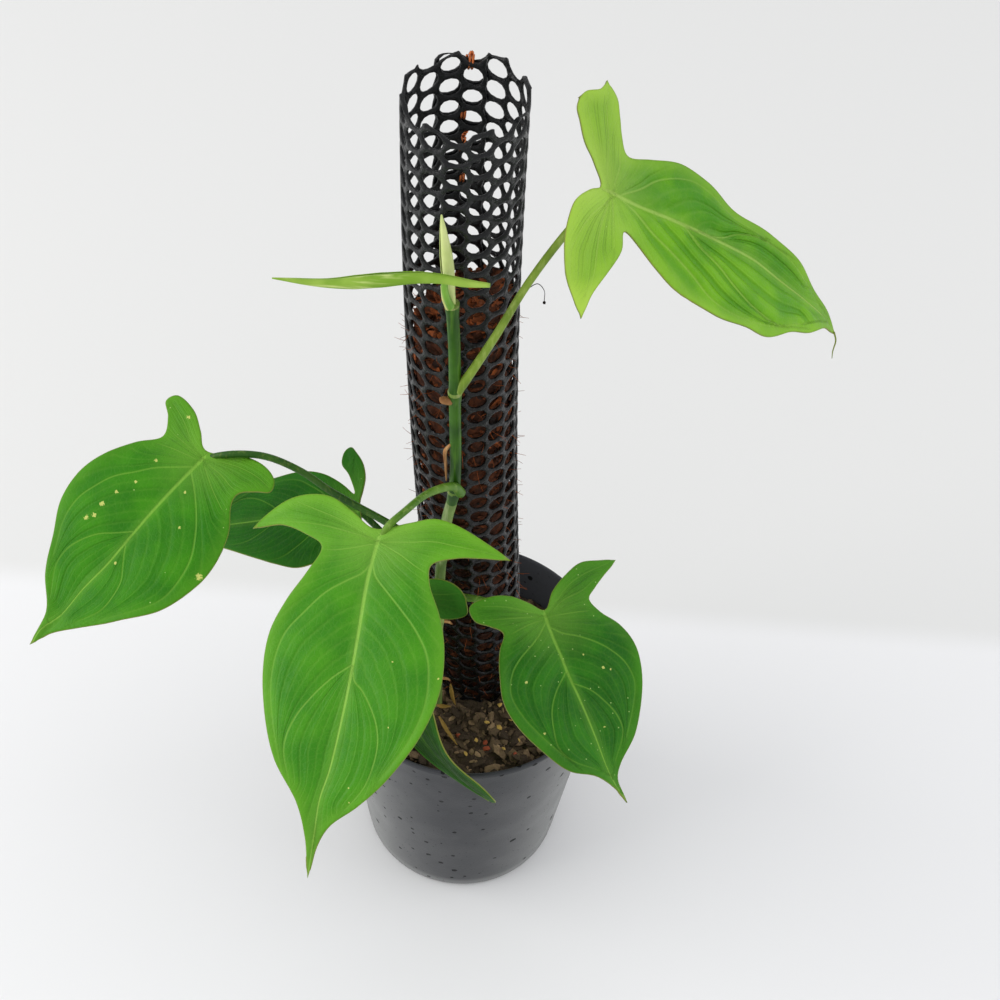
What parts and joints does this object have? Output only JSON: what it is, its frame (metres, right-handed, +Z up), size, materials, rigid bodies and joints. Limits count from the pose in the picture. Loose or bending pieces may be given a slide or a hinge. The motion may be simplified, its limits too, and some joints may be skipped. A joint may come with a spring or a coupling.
{
  "type": "potted climbing aroid",
  "caption": "Three-lobed climbing aroid on a rolled-net moss pole filled with coir, in a tapered plastic nursery pot of bark mix.",
  "frame": {"origin": "centre of the pot's foot, on the surface that the pot stands on", "axes": "+Z up, +X to the right and +Y away from someone who looks at the front of the plant, where the stem climbs"},
  "size_m": [0.3395, 0.2781, 0.5723],
  "materials": {
    "pot_plastic": "matte charcoal, finely pitted",
    "bark_mix": "damp dark bark chips",
    "net_plastic": "black, slightly satin",
    "coir": "coarse rust-brown coir chips and fibres",
    "copper_wire": "bare copper wire",
    "stem_green": "smooth living stem",
    "leaf_green": "smooth leaf, soft sheen",
    "young_leaf_green": "young yellow-green leaf, soft sheen",
    "old_leaf_green": "older dark leaf, soft sheen",
    "sheath_green": "pale sheath of a new shoot"
  },
  "bodies": {
    "root": {"pot": "pot_plastic", "potting_mix": "bark_mix", "pole_net": "net_plastic", "coir_fill": "coir", "copper_tie_1": "copper_wire", "copper_tie_2": "copper_wire", "copper_tie_3": "copper_wire", "copper_tie_4": "copper_wire", "copper_tie_5": "copper_wire", "copper_tie_6": "copper_wire", "copper_tie_7": "copper_wire", "stem": "stem_green", "leaf_left": "leaf_green", "leaf_front": "leaf_green", "leaf_right": "leaf_green", "leaf_top": "young_leaf_green", "leaf_back_left": "old_leaf_green", "leaf_lower": "old_leaf_green", "shoot": "sheath_green", "rolled_leaf": "young_leaf_green"}
  },
  "joints": []
}
